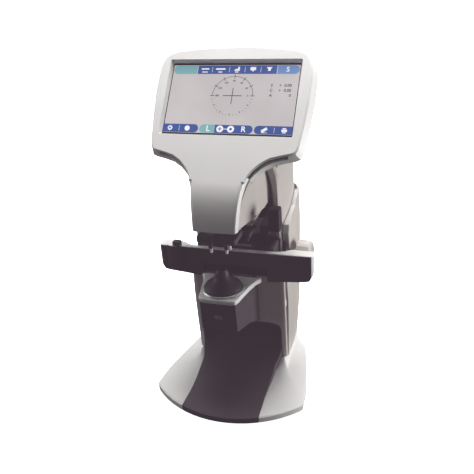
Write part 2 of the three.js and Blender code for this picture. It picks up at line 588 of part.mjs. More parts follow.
// ---------------------------------------------------------------- lens presser
const PRESSER_PINS = [
  { name: 'left', x: -10, y: -82 }, { name: 'right', x: 9, y: -82 }, { name: 'rear', x: 9.3, y: -71.5 },
];
function buildPresser() {
  const { low, high, tips, rodX, rodY, rodR } = PRESSER;
  const plan = rounded([[-24, -93], [24, -93], [24, -62], [-24, -62]], 5, 3);
  const window = rod('z', [0, OPTICAL_Y], 13.5, low - 5, high + 5, 24);
  const arms = PRESSER_PINS.map(({ x, y }) =>
    box([Math.min(x, x * 1.9), Math.max(x, x * 1.9)], [y - 2, y + 2], [low, low + 4]));
  const posts = PRESSER_PINS.map(({ x, y }) => rod('z', [x, y], 2.6, tips + 6, low + 4, 12));
  const plate = cut(prism('z', plan, low, high, 0.8), window);
  addPiece('presser_frame', 'darkShell', join(plate, ...arms, ...posts));
  for (const [side, x] of [['left', -rodX], ['right', rodX]]) {
    addPiece('presser_rod_' + side, 'steel', rod('z', [x, rodY], rodR, high + GAP, 264, 12));
  }
  for (const { name, x, y } of PRESSER_PINS) {
    addPiece('presser_pin_' + name, 'nylon', rod('z', [x, y], 1.7, tips, tips + 6 - GAP, 12, 0.5));
  }
}

// ---------------------------------------------------------------- marking slide
function buildMarker() {
  const { low, high, railX, pinY, tips, pinX } = MARKER;
  const bar = box([-36, 38], [-6, 6], [low, high]);
  const shoes = [-railX, railX].map((x) => cut(box([x - 7, x + 7], [-6, 6], [low, 237]),
    box([x - 4.4, x + 4.4], [-10, 10], [230.6, 234.4]), box([x - 2.4, x + 2.4], [-10, 10], [230, 240])));
  const armPlan = [[40, -52], [51.4, -52], [51.4, -1.5], [30, -1.5], [30, -5.9], [40, -9]];
  const arm = prism('z', rounded(armPlan, [3, 0, 4, 0, 0, 3], 3), low, high);
  const forkWay = box([-7.3, 7.3], [-3.3, 3.3], [low - 5, high + 5]);
  addPiece('marking_carriage', 'blackPart', cut(join(bar, arm, ...shoes), forkWay));
  addPiece('marking_grip', 'blackPart', prism('z',
    rounded([[51.7, -52], [65, -52], [65, -38], [51.7, -38]], [0, 3, 3, 0], 3), 222, 250, 1));

  const stem = box([-7, 7], [-3, 3], [203, high + 4]);
  const crossbar = box([-pinX - 2.5, pinX + 2.5], [-6, 3], [197, 203]);
  const fingers = [-pinX, 0, pinX].map((x) => box([x - 2.5, x + 2.5], [pinY - 3, -2], [197, 203]));
  addPiece('marking_fork', 'darkShell', join(stem, crossbar, ...fingers));
  for (const [place, x] of [['left', -pinX], ['centre', 0], ['right', pinX]]) {
    addPiece('marking_pin_' + place, 'steel', turned(
      [[0, tips], [0.9, tips + 1.5], [0.9, 196.7], [0, 196.7]], [x, pinY], 10));
  }

  const tray = box([-24, 24], [pinY - 4.8, CHANNEL_BACK_Y - GAP], [184.8, 186.6]);
  const padWell = box([-21, 21], [pinY - 3, pinY + 3], [185.6, 190]);
  addPiece('ink_pad_tray', 'blackPart', cut(tray, padWell));
  const padSpan = [pinY - 3 + GAP, pinY + 3 - GAP];
  addPiece('ink_pad', 'felt', box([-21 + GAP, 21 - GAP], padSpan, [185.6 + GAP, 187.6]));
}

// ---------------------------------------------------------------- lens table
function buildTable() {
  const { front, back, top, halfWidth, notchHalf, notchTop } = TABLE;
  const stripDepth = 1.6;
  const capFrom = halfWidth - 1.7; // the strip's turned-down ends start here
  const planHalf = [[0, front], [halfWidth - 1.5, front], [halfWidth, front + 1.5], [halfWidth, -21.5],
    [halfWidth - 1.5, -20], [74, -19.5], [69, -21], [62, -25.8], [55, back], [0, back]];
  const plan = mirrored(planHalf);
  const lowEdge = [
    [99, 157], [94.8, 149.4], [89, 148], [61, 145.5], [notchHalf, 143.5], [notchHalf, notchTop], [0, notchTop],
  ];
  const elevation = mirrored([[0, 190], [110, 190], [110, 157], ...lowEdge]);
  const outline = prism('y', elevation, -60, 10);
  const body = common(prism('z', plan, 140, top - stripDepth - GAP), outline,
    box([-capFrom + GAP, capFrom - GAP], [-60, 10], [100, 200]));
  const pockets = [-1, 1].map((side) => box(
    [Math.min(side * 72, side * 95), Math.max(side * 72, side * 95)], [-31, -22], [130, 178]));
  addPiece('table_bar', 'darkShell', cut(body, ...pockets));
  const strip = prism('z', plan, top - stripDepth, top, 0.4);
  const caps = common(prism('z', plan, 140, top - 0.8), outline);
  addPiece('table_top', 'whiteShell', join(strip, cut(caps, box([-capFrom, capFrom], [-60, 10], [100, 200]))));

  const carriageHalf = 49.5;
  const carriageLow = 159.5;
  const block = box([-carriageHalf, carriageHalf], [back + GAP, 6], [carriageLow, top]);
  const lips = [-1, 1].map((side) => box(
    [Math.min(side * 44, side * carriageHalf), Math.max(side * 44, side * carriageHalf)],
    [back + GAP, 10.5], [top - 4, 187]));
  const under = [[-46, -14], [-14, 14], [14, 46]].map(([a, b]) => box([a + 2, b - 2], [-24, 4], [150, 166]));
  addPiece('table_carriage', 'darkShell', cut(join(block, ...lips), ...under));

  for (const [side, x] of [['left', -GUIDE_ROD.x], ['right', GUIDE_ROD.x]]) {
    addPiece('guide_rod_' + side, 'steel', rod('y', [x, GUIDE_ROD.z], GUIDE_ROD.r, 6 + GAP, 62, 14));
  }
  const pitchLine = PINION.z + PINION.pitch;
  const tooth = [[-0.95, 1.25], [-0.4, -0.95], [0.4, -0.95], [0.95, 1.25]];
  const teeth = Array.from({ length: 15 }, (_, i) => PINION.y + (i - 2.5) * TOOTH_PITCH).flatMap((middle) =>
    tooth.map(([along, down]) => [middle + along, pitchLine + down]));
  const rackTop = 175;
  addPiece('table_rack', 'nylon', prism('x',
    [[6 + GAP, pitchLine + 1.25], ...teeth, [60, pitchLine + 1.25], [60, rackTop], [6 + GAP, rackTop]],
    PINION.from - 0.5, PINION.to + 0.5));

  buildFeedBed();
}

// Fixed bed under the carriage: a floor, a front wall and the two bored blocks the rods slide in
function buildFeedBed() {
  const bed = box([-47, 47], [COLUMN_FRONT_Y, 33.5], [LEDGE_TOP + GAP, 149]);
  const frontWall = box([-54, 54], [COLUMN_FRONT_Y, -14], [LEDGE_TOP + GAP, 159]);
  const blocks = [-1, 1].map((side) => box(
    [Math.min(side * 29, side * 46), Math.max(side * 29, side * 46)], [12, 30], [148, 178]));
  const ways = [-1, 1].map((side) =>
    rod('y', [side * GUIDE_ROD.x, GUIDE_ROD.z], GUIDE_ROD.r + 0.15, 0, 60, 14));
  const shaftWay = rod('x', [PINION.y, PINION.z], 3.3, 20, 60, 16);
  const pinionWay = box([PINION.from - 1.5, PINION.to + 1.5], [5.5, 30.5], [140, 160]);
  addPiece('guide_bed', 'blackPart', cut(join(bed, frontWall, ...blocks), ...ways, shaftWay, pinionWay));
}

function buildKnob() {
  const { y, z, pitch, teeth, from, to } = PINION;
  const flank = [[-0.068, -1.2], [-0.03, 0.85], [0.03, 0.85], [0.068, -1.2]]; // [turn, above the pitch line]
  const outline = Array.from({ length: teeth }, (_, i) => {
    const middle = 2 * Math.PI * i / teeth + Math.PI / 2;
    return flank.map(([turn, above]) => {
      const radius = pitch + above;
      return [y + radius * Math.cos(middle + turn), z + radius * Math.sin(middle + turn)];
    });
  }).flat();
  addPiece('pinion_shaft', 'steel', join(rod('x', [y, z], 3, 18, 84, 16), prism('x', outline, from, to)));
  const profile = [
    [0, KNOB.to], [13, KNOB.to], [KNOB.r - 2, KNOB.to - 2.5], [KNOB.r, KNOB.to - 7], [KNOB.r, KNOB.from + 1],
    [KNOB.r - 1, KNOB.from], [3.3, KNOB.from], [3.3, 84 + GAP], [0, 84 + GAP],
  ];
  const knob = turned(profile, [0, 0], 32);
  addPiece('table_knob', 'greyShell', closed(knob.rotateY(Math.PI / 2).translate(0, y, z)));
  const bushBore = rod('x', [y, z], 3.3, 50, 80, 20);
  addPiece('shaft_bush', 'brass', cut(rod('x', [y, z], 6.5, 64.9, 68.4, 20), bushBore));
}

function buildNoseSlider() {
  const x = -79;
  const front = TABLE.front - GAP;
  const nose = Array.from({ length: 11 }, (_, i) => {
    const a = Math.PI + Math.PI * i / 10;
    return [x + 9 * Math.cos(a), front - 1.4 + 3.4 * Math.sin(a)];
  });
  const plan = [...nose, [x + 9, front], [x - 9, front]];
  const body = prism('z', plan, 157.5, 185, 0.6);
  const bridge = box([x - 0.5, x + 9], [front - 3.6, -30], [184.3, 187]);
  addPiece('nose_slider', 'darkShell', join(body, bridge));
  addPiece('nose_pad', 'rubber', box([x - 0.5, x + 9], [front - 3.6, -30], [187.3, 191]));
}

// ---------------------------------------------------------------- pedestal with the measuring optics
function buttonOutline(out) {
  const [x, low, high] = [5 + out, 128.2 - out, 133.8 + out];
  return rounded([[-x, low], [x, low], [x, high], [-x, high]], 2.7 + out, 4);
}

function buildPedestal() {
  const bodyTop = PLATE_TOP - PLATE_THICKNESS - GAP;
  const wallY = COLUMN_FRONT_Y - GAP;
  const side = [[-103, 112], [-104.5, bodyTop], [wallY, bodyTop], [wallY, 78], [-60, 97]];
  const shiftSide = (inset) => ([y, z]) =>
    [y > -40 ? y + 4 * inset : y + inset, z < 120 ? z + inset : z + 4 * inset];
  const body = (inset) => common(
    prism('x', side.map(shiftSide(inset)), -40, 40),
    prism('z', mirrored([[0, -110], [19 - inset, -110], [22 - inset, -104 + inset], [22.5 - inset, -90],
      [26 - inset, wallY + 9 * inset], [0, wallY + 9 * inset]]), 60, 170));
  const buttonWay = prism('y', buttonOutline(GAP), -110, -98);
  addPiece('pedestal_body', 'darkShell', cut(body(0), body(WALL), buttonWay));

  const plateHalf = [
    [0, -106.5], [17, -106.5], [22, -104.5], [24.5, -100], [27, -85], [30, -70], [31.3, -65], [34, -56],
    [38.3, -48.5], [37, -46.5], [0, -46.5],
  ];
  const plate = prism('z', mirrored(plateHalf), PLATE_TOP - PLATE_THICKNESS, PLATE_TOP, 1.2);
  addPiece('pedestal_plate', 'whiteShell', cut(plate, rod('z', [0, OPTICAL_Y], 14, 140, 170, 28)));

  const axis = [0, OPTICAL_Y];
  addPiece('brim_ring', 'aluminium', turned([[15, PLATE_TOP + GAP], [25, PLATE_TOP + GAP],
    [25.4, PLATE_TOP + 1.2], [24, PLATE_TOP + 2.4], [15, PLATE_TOP + 2.4]], axis, 36));
  const brimLow = PLATE_TOP + 2.4 + GAP;
  addPiece('dome_cover', 'blackPart', turned([[12, brimLow], [22, brimLow], [22.8, brimLow + 1.2],
    [21.8, brimLow + 3.2], [18.5, brimLow + 6], [13.5, brimLow + 9.4], [10, brimLow + 12.6], [8.9, 174],
    [6.4, 174], [7.4, brimLow + 11], [12, brimLow + 6.5]], axis, 32));
  addPiece('nosepiece', 'blackPart', turned([[6.7, 174 + GAP], [8.6, 174 + GAP], [8.2, 178],
    [6, NOSEPIECE_TOP - 0.6], [5.2, NOSEPIECE_TOP], [4, NOSEPIECE_TOP], [4, 178]], axis, 24));
  addPiece('sensor_tube', 'aluminium', turned([[0, 112], [11, 112], [11, 161], [5.8, 168], [5.8, 173.6],
    [4.4, 173.6], [4.4, 166], [9, 160], [9, 116], [0, 116]], axis, 24));

  const cap = prism('y', buttonOutline(0), -105.2, -99.5, 0.5);
  addPiece('read_button', 'darkShell', cap);
  addPiece('button_spring', 'steel', cut(rod('y', [0, 131], 3.4, -99.2, -93, 14),
    rod('y', [0, 131], 2.4, -110, -80, 14)));
}

buildBase();
buildColumn();
buildHead();
buildNeck();
buildInside();
buildPresser();
buildMarker();
buildTable();
buildKnob();
buildNoseSlider();
buildPedestal();

instrument.position.y = FOOTPRINT_SHIFT_Y;
export default instrument;
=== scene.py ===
"""Looks of a desk-top lens meter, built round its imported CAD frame."""

import json
import math

import bmesh  # noqa: E402
import bpy  # noqa: E402
from mathutils import Matrix, Vector  # noqa: E402


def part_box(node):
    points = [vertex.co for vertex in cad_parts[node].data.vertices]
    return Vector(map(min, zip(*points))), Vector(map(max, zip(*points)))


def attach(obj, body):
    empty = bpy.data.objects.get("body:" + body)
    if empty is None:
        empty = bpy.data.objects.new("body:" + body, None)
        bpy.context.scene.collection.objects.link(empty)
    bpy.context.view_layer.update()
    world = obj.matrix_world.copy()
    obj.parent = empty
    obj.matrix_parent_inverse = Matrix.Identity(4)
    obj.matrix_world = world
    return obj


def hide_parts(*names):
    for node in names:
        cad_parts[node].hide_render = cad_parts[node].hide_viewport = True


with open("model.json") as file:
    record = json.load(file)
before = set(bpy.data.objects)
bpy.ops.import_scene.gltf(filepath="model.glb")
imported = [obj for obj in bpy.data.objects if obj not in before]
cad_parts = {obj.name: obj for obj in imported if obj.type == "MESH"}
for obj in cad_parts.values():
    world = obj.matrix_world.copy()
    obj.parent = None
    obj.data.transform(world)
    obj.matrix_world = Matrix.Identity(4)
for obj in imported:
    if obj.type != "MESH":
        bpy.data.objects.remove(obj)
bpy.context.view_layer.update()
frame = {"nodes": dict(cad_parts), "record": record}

MM = 0.001
SLOT_OF = {part["node"]: part["material_slot"] for part in frame["record"]["subparts"]}
BODY_OF = {
    node: body
    for body, nodes in frame["record"]["behaviour"]["bodies"].items()
    for node in nodes
}


# ---------------------------------------------------------------- materials
def linear(code):
    """Linear colour of an sRGB hex code."""
    channels = [(code >> shift & 255) / 255 for shift in (16, 8, 0)]
    bright = [c / 12.92 if c <= 0.04045 else ((c + 0.055) / 1.055) ** 2.4 for c in channels]
    return (*bright, 1.0)


def scaled(colour, factor):
    """The colour made brighter or darker, held at white."""
    return (*[min(1.0, c * factor) for c in colour[:3]], 1.0)


class Recipe:
    """A material on the Principled shader, with short ways to drive its sockets."""

    def __init__(self, name, roughness=0.5, **constants):
        self.material = bpy.data.materials.new(name)
        self.material.use_nodes = True
        self.tree = self.material.node_tree
        self.shader = self.tree.nodes["Principled BSDF"]
        self.shader.inputs["Roughness"].default_value = roughness
        for socket, value in constants.items():
            self.shader.inputs[socket.replace("_", " ")].default_value = value
        self.place = self.node("ShaderNodeTexCoord").outputs["Object"]

    def node(self, kind, settings=None, **inputs):
        """A new node: settings are its own properties, inputs are values or outputs of other nodes."""
        made = self.tree.nodes.new(kind)
        for key, value in (settings or {}).items():
            setattr(made, key, value)
        for key, value in inputs.items():
            socket = made.inputs[key.replace("_", " ")]
            if isinstance(value, bpy.types.NodeSocket):
                self.tree.links.new(value, socket)
            else:
                socket.default_value = value
        return made

    def drive(self, socket, output):
        """Lets a node's output set one of the shader's sockets."""
        self.tree.links.new(output, self.shader.inputs[socket])

    def stretched(self, x, y, z):
        """Place on the object, scaled by axis: the larger the number, the finer the pattern."""
        return self.node(
            "ShaderNodeMapping", Vector=self.place, Scale=(x, y, z)
        ).outputs["Vector"]

    def noise(self, scale, detail=3.0, rough=0.55, where=None):
        """A noise from 0 to 1, mostly between 0.3 and 0.7."""
        return self.node(
            "ShaderNodeTexNoise", Vector=where or self.place, Scale=scale, Detail=detail,
            Roughness=rough,
        ).outputs["Fac"]

    def ramp(self, factor, stops):
        """Colours at stops along a factor from 0 to 1."""
        made = self.node("ShaderNodeValToRGB", Fac=factor)
        elements = made.color_ramp.elements
        for index, (position, colour) in enumerate(stops):
            element = elements[index] if index < 2 else elements.new(position)
            element.position = position
            element.color = colour
        return made.outputs["Color"]

    def between(self, factor, low, high):
        """A noise spread over the range from low to high."""
        return self.node(
            "ShaderNodeMapRange", Value=factor, From_Min=0.3, From_Max=0.7, To_Min=low, To_Max=high
        ).outputs["Result"]

    def blend(self, factor, a, b):
        """Colour a where the factor is 0 and colour b where it is 1."""
        made = self.node("ShaderNodeMix", {"data_type": "RGBA"})
        pairs = ((made.inputs[0], factor), (made.inputs[6], a), (made.inputs[7], b))
        for socket, value in pairs:
            if isinstance(value, bpy.types.NodeSocket):
                self.tree.links.new(value, socket)
            else:
                socket.default_value = value
        return made.outputs[2]

    def bump(self, height, strength, distance):
        """Fine relief of a given distance in metres."""
        made = self.node("ShaderNodeBump", Strength=strength, Distance=distance, Height=height)
        self.drive("Normal", made.outputs["Normal"])


def moulded(name, colour, roughness=0.45, grain=0.12, wear=0.25, **constants):
    """Injection-moulded plastic: faint cloudiness, spark-eroded grain, slightly polished edges."""
    recipe = Recipe(name, roughness, **constants)
    base = linear(colour)
    cloud = recipe.ramp(recipe.noise(9, 2), [(0.35, scaled(base, 0.965)), (0.65, scaled(base, 1.02))])
    edge = recipe.node("ShaderNodeNewGeometry").outputs["Pointiness"]
    edge_mask = recipe.ramp(edge, [(0.52, (0, 0, 0, 1)), (0.6, (wear, wear, wear, 1))])
    recipe.drive("Base Color", recipe.blend(edge_mask, cloud, scaled(base, 1.25)))
    recipe.drive("Roughness", recipe.between(recipe.noise(60, 4), roughness - 0.05, roughness + 0.06))
    recipe.bump(recipe.noise(2600, 2), grain, 0.0002)
    return recipe.material


def brushed(name, colour, roughness, stretch=(4, 400, 400)):
    """Metal with fine lines left by grinding or turning."""
    recipe = Recipe(name, roughness, Metallic=1.0)
    base = linear(colour)
    lines = recipe.noise(6, 4, where=recipe.stretched(*stretch))
    tone = recipe.ramp(lines, [(0.3, scaled(base, 0.88)), (0.7, scaled(base, 1.08))])
    recipe.drive("Base Color", tone)
    recipe.drive("Roughness", recipe.between(lines, roughness - 0.08, roughness + 0.1))
    recipe.bump(lines, 0.08, 0.0001)
    return recipe.material


def rubber():
    """Black rubber with a little dust in its pores."""
    recipe = Recipe("black_rubber", 0.85)
    base = linear(0x1C1C1D)
    dust = recipe.noise(220, 5)
    recipe.drive("Base Color", recipe.ramp(dust, [(0.4, base), (0.75, scaled(base, 1.9))]))
    recipe.drive("Roughness", recipe.between(dust, 0.78, 0.92))
    recipe.bump(recipe.noise(1500, 3), 0.3, 0.0003)
    return recipe.material


def touch_glass():
    """Dark glass with faint finger marks in its gloss."""
    recipe = Recipe("touch_glass", 0.07, Coat_Weight=0.6, Coat_Roughness=0.03)
    smears = recipe.noise(35, 5, 0.65)
    recipe.drive("Base Color", recipe.ramp(smears, [(0.3, linear(0x14171B)), (0.8, linear(0x1B1F25))]))
    recipe.drive("Roughness", recipe.between(smears, 0.05, 0.12))
    return recipe.material


def clear_lens():
    """Coated optical glass."""
    recipe = Recipe("clear_lens", 0.03, Transmission_Weight=0.95, IOR=1.52, Coat_Weight=0.5)
    tint = recipe.noise(50, 2)
    recipe.drive("Base Color", recipe.ramp(tint, [(0.3, linear(0xC9DDE4)), (0.7, linear(0xE2EEF2))]))
    return recipe.material


def circuit_board():
    """Green lacquer with a net of tracks."""
    recipe = Recipe("circuit_board", 0.4)
    tracks = recipe.node(
        "ShaderNodeTexBrick", Vector=recipe.place, Scale=160.0, Color1=linear(0x1E5A3B),
        Color2=linear(0x23643F), Mortar=linear(0x6F7F4C), Mortar_Size=0.03,
    )
    recipe.drive("Base Color", tracks.outputs["Color"])
    recipe.bump(tracks.outputs["Fac"], 0.3, 0.0001)
    return recipe.material


def inked_felt():
    """Felt soaked with marking ink."""
    recipe = Recipe("inked_felt", 0.95, Sheen_Weight=0.4, Sheen_Roughness=0.6)
    fibres = recipe.noise(900, 6, 0.7)
    recipe.drive("Base Color", recipe.ramp(fibres, [(0.3, linear(0x15151F)), (0.7, linear(0x30303F))]))
    recipe.bump(fibres, 0.8, 0.0006)
    return recipe.material


def thermal_paper():
    """Wound layers of label paper."""
    recipe = Recipe("thermal_paper", 0.85)
    layers = recipe.noise(40, 3, where=recipe.stretched(1, 60, 1))
    recipe.drive("Base Color", recipe.ramp(layers, [(0.3, linear(0xE9E9E6)), (0.7, linear(0xF6F6F4))]))
    recipe.bump(layers, 0.2, 0.0002)
    return recipe.material


DARK_PIXEL = (0.22, 0.26)  # share of its colour that a display patch keeps with the light off


def lit(name, colour, strength):
    """A patch of the lit display: the backlight is a little uneven across it."""
    recipe = Recipe(name, 0.3, Coat_Weight=0.3, Coat_Roughness=0.08)
    base = linear(colour)
    backlight = recipe.noise(14, 2)
    glow = recipe.ramp(backlight, [(0.35, scaled(base, 0.94)), (0.65, scaled(base, 1.04))])
    dim, bright = (scaled(base, share) for share in DARK_PIXEL)
    body = recipe.ramp(backlight, [(0.35, dim), (0.65, bright)])
    recipe.drive("Base Color", body)
    recipe.drive("Emission Color", glow)
    recipe.shader.inputs["Emission Strength"].default_value = strength
    return recipe.material


MATERIAL_OF_SLOT = {
    "white_shell": moulded("white_moulding", 0xDAD8D6, 0.42, 0.1),
    "table_top": moulded("table_strip", 0xE0DEDB, 0.4, 0.08),
    "grey_shell": moulded("grey_moulding", 0xB4AEA9, 0.45, 0.14),
    "dark_shell": moulded("charcoal_moulding", 0x383035, 0.5, 0.2, 0.35, Specular_IOR_Level=0.35),
    "black_part": moulded("black_moulding", 0x262124, 0.5, 0.12, 0.35, Specular_IOR_Level=0.2),
    "rubber": rubber(),
    "steel": brushed("ground_steel", 0xBFC1C4, 0.28),
    "sheet_steel": brushed("plated_sheet", 0x93969A, 0.45, (300, 4, 300)),
    "metal_can": brushed("folded_case", 0xA9ABAD, 0.42, (4, 300, 300)),
    "aluminium": brushed("satin_aluminium", 0xC6C8CA, 0.36, (90, 90, 500)),
    "brass": brushed("turned_brass", 0xB8954F, 0.32, (500, 20, 20)),
    "screen_glass": touch_glass(),
    "lens_glass": clear_lens(),
    "board": circuit_board(),
    "felt": inked_felt(),
    "nylon": moulded("natural_nylon", 0xE6E3DC, 0.5, 0.1, 0.1, Subsurface_Weight=0.1),
    "paper": thermal_paper(),
}


# ---------------------------------------------------------------- making pieces
def add_object(name, mesh, body, slot, materials=None):
    """A visible piece that moves with a CAD body and takes its slot's material."""
    made = bpy.data.objects.new(name, mesh)
    bpy.context.collection.objects.link(made)
    for material in materials or [MATERIAL_OF_SLOT[slot]]:
        mesh.materials.append(material)
    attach(made, body)
    return made


def skin(work, rings):
    """Faces from each ring of corners to the next; a ring with one corner is a tip."""
    count = max(len(ring) for ring in rings)
    for one, two in zip(rings, rings[1:]):
        for i in range(count):
            j = (i + 1) % count
            corners = [one[i % len(one)], one[j % len(one)], two[j % len(two)], two[i % len(two)]]
            work.faces.new(list(dict.fromkeys(corners)))
    for end in (rings[0][::-1], rings[-1]):
        if len(end) > 2:
            work.faces.new(end)


def finished(work, name, outward=False):
    """The mesh of a bmesh, if asked with every face turned outward."""
    if outward:
        bmesh.ops.recalc_face_normals(work, faces=work.faces)
    mesh = bpy.data.meshes.new(name)
    work.to_mesh(mesh)
    work.free()
    return mesh


def turned(name, profile, segments, place, radius_at=None):
    """A surface turned round z: profile of (radius, height), whose radius may change round the turn."""
    work = bmesh.new()
    rings = []
    for radius, height in profile:
        ring = []
        for i in range(1 if radius < 1e-9 else segments):
            a = 2 * math.pi * i / segments
            r = radius_at(radius, height, a) if radius_at else radius
            ring.append(work.verts.new(place @ Vector((r * math.cos(a), r * math.sin(a), height))))
        rings.append(ring)
    skin(work, rings)
    return finished(work, name, outward=True)


def add_turned(name, profile, segments, place, radius_at, body, slot):
    """A turned piece with crisp corners and smooth rounds."""
    mesh = turned(name, profile, segments, place, radius_at)
    mesh.shade_smooth()
    mesh.set_sharp_from_angle(angle=math.radians(35))
    return add_object(name, mesh, body, slot)


WELD = 2e-6  # metres: corners nearer than this are one
FLAT_ANGLE = 0.8  # degrees: faces that turn by less are one face
SHARP_ANGLE = 32  # degrees: an edge that turns by more is rounded


def welded_copy(node):
    """The node's surface as a new mesh with shared corners and whole flat faces."""
    work = bmesh.new()
    work.from_mesh(frame["nodes"][node].data)
    bmesh.ops.remove_doubles(work, verts=work.verts, dist=WELD)
    bmesh.ops.dissolve_limit(
        work, angle_limit=math.radians(FLAT_ANGLE), verts=work.verts, edges=work.edges
    )
    work.verts.index_update()
    mesh = bpy.data.meshes.new(node + "_mesh")
    corners = [v.co.copy() for v in work.verts]
    faces = [[v.index for v in f.verts] for f in work.faces]
    mesh.from_pydata(corners, [], faces)
    work.free()
    mesh.validate()
    mesh.shade_smooth()
    return mesh


def softened(node, width, material=None):
    """The node again, with its edges rounded to a width in millimetres, as a mould rounds them."""
    materials = [material] if material else None
    made = add_object(node + "_shape", welded_copy(node), BODY_OF[node], SLOT_OF[node], materials)
    edge = made.modifiers.new("rounded_edges", "BEVEL")
    edge.width = width * MM
    edge.segments = 2
    edge.limit_method = "ANGLE"
    edge.angle_limit = math.radians(SHARP_ANGLE)
    edge.use_clamp_overlap = True
    edge.miter_outer = "MITER_SHARP"
    normals = made.modifiers.new("flat_faces_stay_flat", "WEIGHTED_NORMAL")
    normals.weight = 80
    normals.keep_sharp = False
    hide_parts(node)


# Width of the rounded edges in millimetres
EDGE_WIDTH = {
    "base_shell": 0.9, "base_scoop": 0.9, "lower_column_cover": 0.9, "upper_column_cover": 0.9,
    "rear_cover": 0.8, "printer_door": 0.4, "neck_housing": 0.8, "screen_bezel": 0.9,
    "head_rear_shell": 0.9, "table_bar": 1.2, "table_top": 0.3, "table_carriage": 0.8,
    "nose_slider": 0.5, "nose_pad": 0.9, "pedestal_body": 1.3, "pedestal_plate": 0.5,
    "marking_carriage": 0.7, "marking_grip": 1.4, "marking_fork": 0.5, "presser_frame": 0.5,
    "ink_pad_tray": 0.3, "power_inlet": 0.5, "power_rocker": 0.5, "read_button": 0.5,
    "dome_cover": 0.3, "nosepiece": 0.2, "brim_ring": 0.25, "foot_front_left": 0.4,
    "foot_front_right": 0.4, "foot_rear_left": 0.4, "foot_rear_right": 0.4,
    "presser_pin_left": 0.2, "presser_pin_right": 0.2, "presser_pin_rear": 0.2,
}


def dress_frame():
    """Gives every node its material, and every visible moulding its rounded edges."""
    own_material = {
        "read_button": moulded("button_moulding", 0x7A7378, 0.45),
        "bezel_gasket": moulded("seam_moulding", 0x5E5551, 0.6),
    }
    for node, piece in frame["nodes"].items():
        piece.data.materials.clear()
        piece.data.materials.append(own_material.get(node) or MATERIAL_OF_SLOT[SLOT_OF[node]])
    for node, width in EDGE_WIDTH.items():
        softened(node, width, material=own_material.get(node))


# ---------------------------------------------------------------- display
def display_frame():
    """x right, y up the screen, z out of the glass, in millimetres from the middle of the glass."""
    mesh = frame["nodes"]["touch_glass"].data
    front = max((p for p in mesh.polygons if p.normal.z > 0), key=lambda p: p.area)
    out = front.normal.normalized()
    reach = max(v.co.dot(out) for v in mesh.vertices)
    face = [v.co for v in mesh.vertices if reach - v.co.dot(out) < 1e-5]
    low = Vector([min(c[i] for c in face) for i in range(3)])
    high = Vector([max(c[i] for c in face) for i in range(3)])
    right = Vector((1, 0, 0))
    up = out.cross(right)
    turn = Matrix((right, up, out)).transposed().to_4x4()
    return Matrix.Translation((low + high) / 2) @ turn @ Matrix.Scale(MM, 4)


def box_outline(x0, x1, y0, y1):
    """Four corners, anticlockwise."""
    return [(x0, y0), (x1, y0), (x1, y1), (x0, y1)]


def on_circle(centre, radius, degrees):
    """The point of a circle in a direction."""
    a = math.radians(degrees)
    return (centre[0] + radius * math.cos(a), centre[1] + radius * math.sin(a))


def arc(centre, radius, start, end, steps):
    """Points of an arc between two directions in degrees, both ends included."""
    return [on_circle(centre, radius, start + (end - start) * i / steps) for i in range(steps + 1)]


def disc(centre, radius):
    """Outline of a disc."""
    return arc(centre, radius, 0, 360, 28)[:-1]


def pill(x0, x1, y0, y1, left, right):
    """A bar with its left end, its right end or both rounded."""
    r = (y1 - y0) / 2
    middle = (y0 + y1) / 2
    left_end = arc((x0 + r, middle), r, 90, 270, 10) if left else [(x0, y1), (x0, y0)]
    right_end = arc((x1 - r, middle), r, -90, 90, 10) if right else [(x1, y0), (x1, y1)]
    return left_end + right_end


def ring_pieces(centre, inner, outer, start, end, steps):
    """Short four-sided pieces that make up a band round a centre."""
    inside = arc(centre, inner, start, end, steps)
    outside = arc(centre, outer, start, end, steps)
    return [
        [outside[i], outside[i + 1], inside[i + 1], inside[i]] for i in range(steps)
    ]


def bar(centre, length, width, angle):
    """A straight stroke through a centre, turned by an angle in degrees."""
    a = math.radians(angle)
    along = Vector((math.cos(a), math.sin(a))) * length / 2
    across = Vector((-math.sin(a), math.cos(a))) * width / 2
    middle = Vector(centre)
    corners = (-along - across, along - across, along + across, -along + across)
    return [tuple(middle + c) for c in corners]


def add_prisms(work, outlines, low, high, place):
    """Thin closed plates on the glass, one for each outline."""
    for outline in outlines:
        skin(work, [
            [work.verts.new(place @ Vector((x, y, level))) for x, y in outline] for level in (low, high)
        ])


def add_words(work, words, low, place):
    """Numerals and single letters, each (text, x, y, size)."""
    for text, x, y, size in words:
        curve = bpy.data.curves.new("glyph", "FONT")
        curve.body = text
        curve.size = size
        curve.align_x = "CENTER"
        curve.align_y = "CENTER"
        curve.extrude = 0.03
        curve.offset = 0.018 * size
        curve.resolution_u = 3
        holder = bpy.data.objects.new("glyph", curve)
        glyph = bpy.data.meshes.new_from_object(holder)
        glyph.transform(place @ Matrix.Translation((x, y, low + 0.04)))
        work.from_mesh(glyph)
        bpy.data.objects.remove(holder)
        bpy.data.curves.remove(curve)
        bpy.data.meshes.remove(glyph)


LAYER_THICK = 0.06


def display_layer(name, material, level, outlines=(), words=()):
    """One colour of the display: plates and signs at a level in millimetres above the glass."""
    work = bmesh.new()
    place = display_frame()
    add_prisms(work, outlines, level, level + LAYER_THICK, place)
    add_words(work, words, level, place)
    mesh = finished(work, name)
    return add_object(name, mesh, BODY_OF["touch_glass"], "screen_glass", [material])


# Millimetres from the middle of the glass
SCREEN_HALF = (77.1, 42.95)
HEADER = (31.6, 42.4)
FOOTER = (-42.6, -32.4)
DIAL_CENTRE = (1.0, 4.0)
DIAL_RADIUS = 24.3
NUMERAL_INSET = 5.6
SCREEN_GLOW = 0.66
SIGN_GLOW = 0.8
CROSS_GLOW = 0.4
INK_GLOW = 0.3
GROUND_LEVEL, BAR_LEVEL, SIGN_LEVEL, SIGN_CENTRE_LEVEL = 0.05, 0.14, 0.23, 0.32


